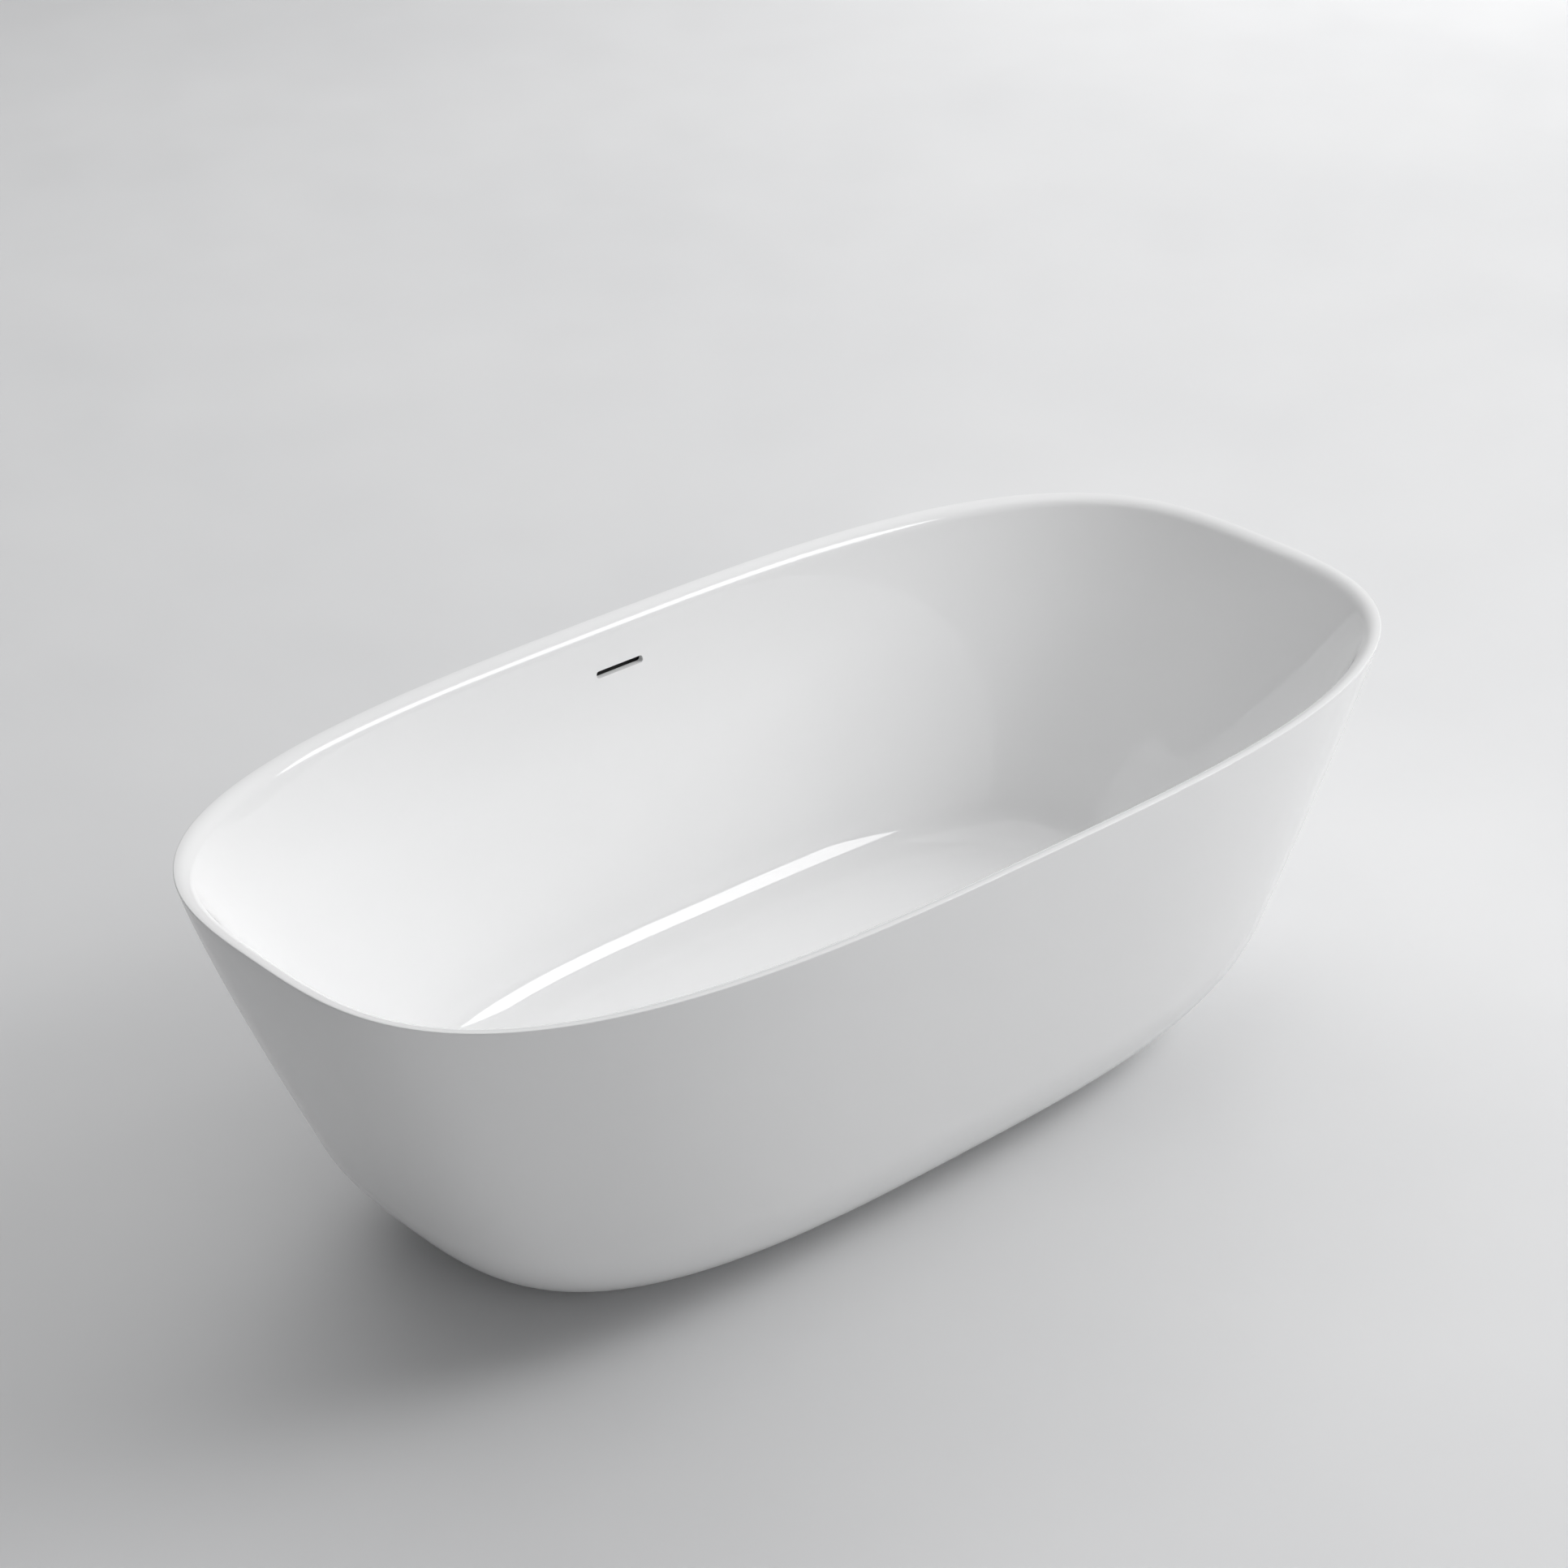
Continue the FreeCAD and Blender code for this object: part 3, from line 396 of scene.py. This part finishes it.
def noise(nodes, links, scale, detail=3.0, stretch=None):
    coords = nodes.new("ShaderNodeTexCoord")
    source = coords.outputs["Object"]
    if stretch:
        mapping = nodes.new("ShaderNodeMapping")
        mapping.inputs["Scale"].default_value = stretch
        links.new(source, mapping.inputs["Vector"])
        source = mapping.outputs["Vector"]
    texture = nodes.new("ShaderNodeTexNoise")
    texture.inputs["Scale"].default_value = scale
    texture.inputs["Detail"].default_value = detail
    links.new(source, texture.inputs["Vector"])
    return texture.outputs["Fac"]


def spread(nodes, links, source, low, high, from_low=0.3, from_high=0.7):
    node = nodes.new("ShaderNodeMapRange")
    node.inputs["From Min"].default_value = from_low
    node.inputs["From Max"].default_value = from_high
    node.inputs["To Min"].default_value = low
    node.inputs["To Max"].default_value = high
    links.new(source, node.inputs["Value"])
    return node.outputs["Result"]


def ramp(nodes, links, source, stops):
    node = nodes.new("ShaderNodeValToRGB")
    elements = node.color_ramp.elements
    while len(elements) < len(stops):
        elements.new(0.5)
    for element, (place, colour) in zip(elements, stops):
        element.position = place
        element.color = (*colour, 1)
    links.new(source, node.inputs["Fac"])
    return node.outputs["Color"]


def bump(nodes, links, shader, height, strength, distance):
    node = nodes.new("ShaderNodeBump")
    node.inputs["Strength"].default_value = strength
    node.inputs["Distance"].default_value = distance
    links.new(height, node.inputs["Height"])
    links.new(node.outputs["Normal"], shader.inputs["Normal"])


def acrylic(name, roughness):
    material, nodes, links, shader = new_material(name)
    cloud = noise(nodes, links, 2.2)
    links.new(ramp(nodes, links, cloud, [(0.3, (0.905, 0.907, 0.910)), (0.7, (0.925, 0.926, 0.928))]),
              shader.inputs["Base Color"])
    links.new(spread(nodes, links, noise(nodes, links, 9.0), roughness * 0.95, roughness * 1.05),
              shader.inputs["Roughness"])
    shader.inputs["IOR"].default_value = 1.5
    bump(nodes, links, shader, noise(nodes, links, 9.0, 0.0), 0.002, 0.0003)
    return material


def plain_metal(name, dark, light, rough_low, rough_high, scale=60.0, stretch=None, grain=0.05):
    material, nodes, links, shader = new_material(name)
    shader.inputs["Metallic"].default_value = 1.0
    mottle = noise(nodes, links, scale, 4.0, stretch)
    links.new(ramp(nodes, links, mottle, [(0.3, dark), (0.7, light)]), shader.inputs["Base Color"])
    links.new(spread(nodes, links, mottle, rough_low, rough_high), shader.inputs["Roughness"])
    bump(nodes, links, shader, noise(nodes, links, scale * 4, 2.0, stretch), grain, 0.0002)
    return material


def galvanised():
    material, nodes, links, shader = new_material("galvanised_steel")
    shader.inputs["Metallic"].default_value = 0.9
    coords = nodes.new("ShaderNodeTexCoord")
    cells = nodes.new("ShaderNodeTexVoronoi")
    cells.inputs["Scale"].default_value = 90.0
    links.new(coords.outputs["Object"], cells.inputs["Vector"])
    dull, bright = (0.42, 0.43, 0.45), (0.64, 0.66, 0.68)
    spangle = ramp(nodes, links, cells.outputs["Color"], [(0.1, dull), (0.9, bright)])
    links.new(spangle, shader.inputs["Base Color"])
    links.new(spread(nodes, links, cells.outputs["Color"], 0.34, 0.52, 0.0, 1.0), shader.inputs["Roughness"])
    bump(nodes, links, shader, cells.outputs["Distance"], 0.05, 0.0003)
    return material


def moulded(name, dark, light, roughness, scale=700.0):
    material, nodes, links, shader = new_material(name)
    tint = ramp(nodes, links, noise(nodes, links, 18.0), [(0.3, dark), (0.7, light)])
    links.new(tint, shader.inputs["Base Color"])
    links.new(spread(nodes, links, noise(nodes, links, 40.0), roughness * 0.85, roughness * 1.15),
              shader.inputs["Roughness"])
    bump(nodes, links, shader, noise(nodes, links, scale, 2.0), 0.12, 0.0002)
    return material


def plywood():
    """Birch faces with long grain, and thin alternate plies where the edge shows."""
    material, nodes, links, shader = new_material("plywood")
    grain = noise(nodes, links, 7.0, 6.0, (1.2, 14.0, 14.0))
    face_stops = [(0.25, (0.50, 0.33, 0.17)), (0.5, (0.66, 0.48, 0.28)), (0.8, (0.74, 0.57, 0.36))]
    face = ramp(nodes, links, grain, face_stops)
    coords = nodes.new("ShaderNodeTexCoord")
    plies = nodes.new("ShaderNodeTexWave")
    plies.bands_direction = "Z"
    plies.inputs["Scale"].default_value = 110.0
    plies.inputs["Distortion"].default_value = 0.4
    links.new(coords.outputs["Object"], plies.inputs["Vector"])
    edge = ramp(nodes, links, plies.outputs["Fac"], [(0.35, (0.36, 0.22, 0.11)), (0.65, (0.72, 0.54, 0.33))])
    geometry = nodes.new("ShaderNodeNewGeometry")
    split = nodes.new("ShaderNodeSeparateXYZ")
    links.new(geometry.outputs["Normal"], split.inputs["Vector"])
    upright = nodes.new("ShaderNodeMath")
    upright.operation = "ABSOLUTE"
    links.new(split.outputs["Z"], upright.inputs[0])
    mix = nodes.new("ShaderNodeMix")
    mix.data_type = "RGBA"
    links.new(spread(nodes, links, upright.outputs["Value"], 0.0, 1.0, 0.4, 0.6), mix.inputs["Factor"])
    links.new(edge, mix.inputs["A"])
    links.new(face, mix.inputs["B"])
    links.new(mix.outputs["Result"], shader.inputs["Base Color"])
    links.new(spread(nodes, links, grain, 0.55, 0.75), shader.inputs["Roughness"])
    bump(nodes, links, shader, grain, 0.15, 0.0004)
    return material


def pale_floor():
    material, nodes, links, shader = new_material("pale_floor")
    cloud = noise(nodes, links, 1.3, 4.0)
    links.new(ramp(nodes, links, cloud, [(0.3, (0.735, 0.738, 0.745)), (0.7, (0.765, 0.767, 0.772))]),
              shader.inputs["Base Color"])
    links.new(spread(nodes, links, noise(nodes, links, 5.0), 0.55, 0.7), shader.inputs["Roughness"])
    bump(nodes, links, shader, noise(nodes, links, 42.0, 8.0), 0.10, 0.002)
    return material


MATERIALS = {
    "acrylic_white": acrylic("acrylic_gloss", 0.022),
    "plywood": plywood(),
    "galvanised_steel": galvanised(),
    "zinc_fastener": plain_metal("zinc_fastener", (0.55, 0.56, 0.55), (0.72, 0.72, 0.69), 0.22, 0.36),
    "spring_steel": plain_metal("spring_steel", (0.50, 0.50, 0.51), (0.62, 0.62, 0.63), 0.2, 0.3, 200.0),
    "polished_chrome": plain_metal("polished_chrome", (0.80, 0.81, 0.82), (0.86, 0.87, 0.88), 0.03, 0.07,
                                   30.0, None, 0.01),
    "brass": plain_metal("brass", (0.70, 0.52, 0.25), (0.80, 0.63, 0.34), 0.22, 0.34, 80.0, (1, 1, 8)),
    "black_plastic": moulded("black_plastic", (0.044, 0.044, 0.045), (0.060, 0.060, 0.062), 0.45),
    "white_plastic": moulded("white_plastic", (0.78, 0.78, 0.76), (0.84, 0.84, 0.83), 0.4),
    "hose_plastic": moulded("hose_plastic", (0.62, 0.63, 0.64), (0.70, 0.71, 0.72), 0.42),
    "black_rubber": moulded("black_rubber", (0.014, 0.014, 0.014), (0.026, 0.026, 0.026), 0.75, 420.0),
}


def dress(thing, slot_name, material=None):
    thing.data.materials.clear()
    thing.data.materials.append(material or MATERIALS[slot_name])


for entry in frame["record"]["subparts"]:
    dress(NODES[entry["node"]], entry["material_slot"])


# ---------------------------------------------------------------- pieces

def make_basin():
    """The basin: rounded rim edge, roll, walls, fillet and floor, with the slot cut through its wall."""
    front = outer_rim_rings() + inner_rings(0) + floor_rings(INSIDE_FLOOR, 24)
    back_inner = inner_rings(BASIN_WALL)
    under_rim = skirt_ring(SEAM_LEVEL, UNDER_RIM_INSET)
    pocket = [ring_points for ring_points in back_inner if ring_points[:, 2].max() < SEAM_LEVEL - MM]
    junction = pocket[0].copy()
    junction[:, 2] = SEAM_LEVEL
    back = [under_rim, (under_rim + junction) / 2] + pocket + floor_rings(INSIDE_FLOOR - BASIN_WALL, 8)
    thing, normals = closed_shell("basin", front, back)
    cut_slot(thing, normals)
    dress(thing, "acrylic_white")
    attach(thing, "tub")
    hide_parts("basin_shell")


def make_apron():
    """The skirt, bowed and tucked under at its foot."""
    levels = skirt_levels()
    front = [skirt_ring(level, 0) for level in levels]
    back = [skirt_ring(level, SKIRT_WALL) for level in levels]
    thing, normals = closed_shell("apron", front, back)
    thing.data.normals_split_custom_set_from_vertices([tuple(n) for n in normals])
    dress(thing, "acrylic_white", acrylic("acrylic_satin", 0.16))
    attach(thing, "tub")
    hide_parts("apron_shell")


def make_plug_cap():
    """The cap as turned: a soft dome over a rounded edge, and the boss that takes the stem."""
    low, high = (corner.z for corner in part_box("plug_cap"))
    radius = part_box("plug_cap")[1].x
    seat = low + CAP_BOSS_HEIGHT
    profile = [(0, seat), (CAP_HOLE, seat), (CAP_HOLE, low), (CAP_BOSS - BOSS_CHAMFER, low),
               (CAP_BOSS, low + BOSS_CHAMFER), (CAP_BOSS, seat), (radius - CAP_EDGE, seat)]
    for turn in np.linspace(-math.pi / 2, math.pi / 3, 11)[1:]:
        profile.append((radius - CAP_EDGE * (1 - math.cos(turn)), seat + CAP_EDGE * (1 + math.sin(turn))))
    rim_radius, rim_level = profile[-1]
    for share in np.linspace(0, 1, 13)[1:]:
        profile.append((rim_radius * (1 - share), rim_level + (high - rim_level) * (1 - (1 - share) ** 2)))
    cap = lathe("plug_dome", profile)
    dress(cap, "polished_chrome")
    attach(cap, "plug")
    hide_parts("plug_cap")


def make_stud(corner):
    """A screw foot's stud: a turned spigot, a hexagon with chamfered corners and a real helical thread."""
    low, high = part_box(f"foot_stud_{corner}")
    x, y = (low.x + high.x) / 2, (low.y + high.y) / 2
    hex_bottom = low.z + SPIGOT_LENGTH
    hex_top = hex_bottom + HEX_HEIGHT
    tip, root = SPIGOT_RADIUS - SPIGOT_CHAMFER, hex_bottom + MM
    spigot_shape = [(0, low.z), (tip, low.z), (SPIGOT_RADIUS, low.z + SPIGOT_CHAMFER),
                    (SPIGOT_RADIUS, root), (0, root)]
    spigot = lathe("stud_spigot", spigot_shape, SPIGOT_STEPS, (x, y))
    thread = helical_thread(x, y, hex_top - MM, high.z)
    nut = hexagon_with_chamfers(x, y, hex_bottom, hex_top)
    whole = joined(f"stud_{corner}", [spigot, thread, nut])
    dress(whole, "zinc_fastener")
    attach(whole, f"foot_screw_{corner}")
    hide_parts(f"foot_stud_{corner}")


def helical_thread(x, y, bottom, top):
    """A rod with one thread winding up it, tapered over its last turn."""
    rows, columns = int((top - bottom) / THREAD_PITCH * THREAD_ROWS_PER_TURN), THREAD_COLUMNS
    verts = []
    for row in range(rows + 1):
        level = bottom + (top - bottom) * row / rows
        fade = min(1.0, (top - level) / THREAD_PITCH)
        for column in range(columns):
            turn = 2 * math.pi * column / columns
            wave = abs((level / THREAD_PITCH - column / columns) % 1.0 - 0.5) * 2
            groove = THREAD_DEPTH * min(1.0, THREAD_ROOT_WIDENING * wave)
            radius = THREAD_RADIUS - groove - THREAD_LEAD_IN * (1 - fade)
            verts.append((x + radius * math.cos(turn), y + radius * math.sin(turn), level))
    return object_from("stud_thread", verts, capped_faces(rows + 1, columns))


def hexagon_with_chamfers(x, y, bottom, top):
    """A hexagon of the stud's size whose corners are turned off at both faces."""
    flat_radius = HEX_FLATS / 2
    corner_radius = flat_radius / math.cos(math.pi / 6)
    limits = ((bottom, flat_radius), (bottom + MM, corner_radius),
              (top - MM, corner_radius), (top, flat_radius))
    verts = []
    for level, limit in limits:
        for step in range(HEX_STEPS):
            turn = 2 * math.pi * step / HEX_STEPS
            radius = min(flat_radius / math.cos(turn % (math.pi / 3) - math.pi / 6), limit)
            verts.append((x + radius * math.cos(turn), y + radius * math.sin(turn), level))
    faces = capped_faces(len(limits), HEX_STEPS)
    nut = object_from("stud_hexagon", verts, faces)
    nut.data.set_sharp_from_angle(angle=math.radians(25))
    return nut


def joined(name, things):
    """One object made of several pieces' meshes."""
    work = bmesh.new()
    for thing in things:
        work.from_mesh(thing.data)
    mesh = bpy.data.meshes.new(name)
    work.to_mesh(mesh)
    work.free()
    for thing in things:
        bpy.data.objects.remove(thing)
    whole = bpy.data.objects.new(name, mesh)
    bpy.context.scene.collection.objects.link(whole)
    return whole


def hose_route():
    """Points along the hose's middle line, from the duct's spigot to the tee, as the CAD routes it."""
    middle = int(np.argmin(np.abs(ANGLES - math.pi / 2)))
    tilt = TILTS[middle]
    down = Vector((0, -math.sin(tilt), -math.cos(tilt)))
    outward = Vector((0, math.cos(tilt), -math.sin(tilt)))
    back = Vector((0, wall_y_at(middle, SLOT_LEVEL) + BASIN_WALL / math.cos(tilt), SLOT_LEVEL))
    end = back + outward * HOSE_OFF_WALL + down * HOSE_FROM_SLOT
    start = end - down * HOSE_ON_SPIGOT
    corners = [start, end + down * SPIGOT_REACH] + [Vector((0, y, z)) for y, z in HOSE_CORNERS]
    points = [start]
    for before, corner, after in zip(corners, corners[1:], corners[2:]):
        to_before, to_after = (before - corner).normalized(), (after - corner).normalized()
        trim = HOSE_BEND_SHARE * min((before - corner).length, (after - corner).length)
        turn = math.pi - to_before.angle(to_after)
        bend = trim / math.tan(turn / 2)
        centre = corner + (to_before + to_after).normalized() * math.hypot(bend, trim)
        first, last = corner + to_before * trim - centre, corner + to_after * trim - centre
        for share in np.linspace(0, 1, BEND_POINTS):
            points.append(centre + first.slerp(last, share).normalized() * bend)
    points.append(corners[-1])
    return points


def along_line(points, run, at):
    """The place at a distance along a line of points whose running lengths are known."""
    return Vector([np.interp(at, run, [point[axis] for point in points]) for axis in range(3)])


def make_hose():
    """The overflow hose with its corrugations."""
    route = hose_route()
    run = [0.0]
    for here, there in zip(route, route[1:]):
        run.append(run[-1] + (there - here).length)
    rings = int(run[-1] / HOSE_RIB_PITCH) * RINGS_PER_RIB
    verts = []
    for index in range(rings + 1):
        at = run[-1] * index / rings
        centre = along_line(route, run, at)
        way = along_line(route, run, min(at + MM, run[-1])) - along_line(route, run, max(at - MM, 0))
        side = way.normalized().cross(Vector((1, 0, 0)))
        plain = min(at, run[-1] - at) < HOSE_CUFF
        ripple = 0 if plain else HOSE_RIB_DEPTH * 0.5 * (1 - math.cos(2 * math.pi * at / HOSE_RIB_PITCH))
        for column in range(HOSE_COLUMNS):
            turn = 2 * math.pi * column / HOSE_COLUMNS
            spoke = Vector((math.cos(turn), 0, 0)) + side * math.sin(turn)
            verts.append(centre + spoke * (HOSE_RADIUS - ripple))
    hose = object_from("corrugated_hose", verts, grid_faces(rings + 1, HOSE_COLUMNS))
    solidify = hose.modifiers.new("wall", "SOLIDIFY")
    solidify.thickness = HOSE_SKIN
    solidify.offset = -1
    graph = bpy.context.evaluated_depsgraph_get()
    mesh = bpy.data.meshes.new_from_object(hose.evaluated_get(graph))
    hose.modifiers.clear()
    hose.data = mesh
    dress(hose, "hose_plastic")
    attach(hose, "tub")
    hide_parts("overflow_hose")


make_basin()
make_apron()
make_plug_cap()
make_hose()
for corner_name in ("front_left", "front_right", "back_left", "back_right"):
    make_stud(corner_name)


# ---------------------------------------------------------------- stage, light and camera

FLOOR_HALF = 14.0
SENSOR_WIDTH = 36.0
LENS = 82.877
CAMERA_AZIMUTH = -41.92
CAMERA_ELEVATION = 28.64
CAMERA_OFFSET = (-0.03878, 0.17168, 4.67132)
CLIP_END = 60.0


def make_floor():
    half = FLOOR_HALF
    corners = [(-half, -half, 0), (half, -half, 0), (half, half, 0), (-half, half, 0)]
    floor = object_from("studio_floor", corners, [(0, 1, 2, 3)])
    dress(floor, None, pale_floor())


def soft_light(name, direction, distance, width, height, power, shines):
    """A rectangle of light facing the tub. Only a light that shines is mirrored in glossy surfaces."""
    data = bpy.data.lights.new(name, "AREA")
    data.shape = "RECTANGLE"
    data.size = width
    data.size_y = height
    data.energy = power
    light = bpy.data.objects.new(name, data)
    towards = Vector(direction).normalized()
    light.visible_glossy = shines
    light.location = Vector((0, 0, TUB_TOP / 2)) + towards * distance
    light.rotation_mode = "QUATERNION"
    light.rotation_quaternion = towards.to_track_quat("Z", "Y")
    bpy.context.scene.collection.objects.link(light)


def make_world():
    """A dim sky that brightens upwards, and a pale haze below the horizon, past the floor's edge."""
    world = bpy.data.worlds.new("studio")
    world.use_nodes = True
    nodes, links = world.node_tree.nodes, world.node_tree.links
    coords = nodes.new("ShaderNodeTexCoord")
    split = nodes.new("ShaderNodeSeparateXYZ")
    links.new(coords.outputs["Generated"], split.inputs["Vector"])
    sky = spread(nodes, links, split.outputs["Z"], 0.015, 0.24, 0.0, 1.0)
    past_floor = spread(nodes, links, split.outputs["Z"], 0.2, 0.0, -0.01, 0.0)
    both = nodes.new("ShaderNodeMath")
    links.new(sky, both.inputs[0])
    links.new(past_floor, both.inputs[1])
    links.new(both.outputs["Value"], nodes["Background"].inputs["Strength"])
    nodes["Background"].inputs["Color"].default_value = (0.985, 0.99, 1.0, 1)
    bpy.context.scene.world = world


def make_camera():
    data = bpy.data.cameras.new("camera")
    data.sensor_width = SENSOR_WIDTH
    data.lens = LENS
    data.clip_end = CLIP_END
    azimuth, elevation = math.radians(CAMERA_AZIMUTH), math.radians(CAMERA_ELEVATION)
    back = Vector((math.sin(azimuth) * math.cos(elevation), -math.cos(azimuth) * math.cos(elevation),
                   math.sin(elevation)))
    right = Vector((math.cos(azimuth), math.sin(azimuth), 0))
    up = back.cross(right)
    camera = bpy.data.objects.new("camera", data)
    shift_right, shift_up, distance = CAMERA_OFFSET
    camera.location = Vector((0, 0, TUB_TOP / 2)) + right * shift_right + up * shift_up + back * distance
    camera.rotation_mode = "QUATERNION"
    camera.rotation_quaternion = Matrix((right, up, back)).transposed().to_quaternion()
    bpy.context.scene.collection.objects.link(camera)
    bpy.context.scene.camera = camera


make_floor()
make_world()
soft_light("key", (0.93, -0.32, 0.55), 10.0, 5.0, 5.0, 368, False)
soft_light("back", (2.6, 4.0, 4.2), 6.4, 7.0, 5.0, 104, False)
soft_light("top", (0.0, 0.2, 1.0), 6.0, 6.0, 6.0, 93, True)
soft_light("front", (-0.3, -1.0, 0.5), 7.0, 4.0, 3.0, 68, False)
soft_light("right", (1.0, 0.6, 0.25), 7.0, 4.0, 3.0, 80, False)
soft_light("strip", (0.586, -0.48, 0.653), 4.5, 1.9, 1.3, 50, True)
make_camera()
bpy.context.scene.view_settings.view_transform = "Standard"
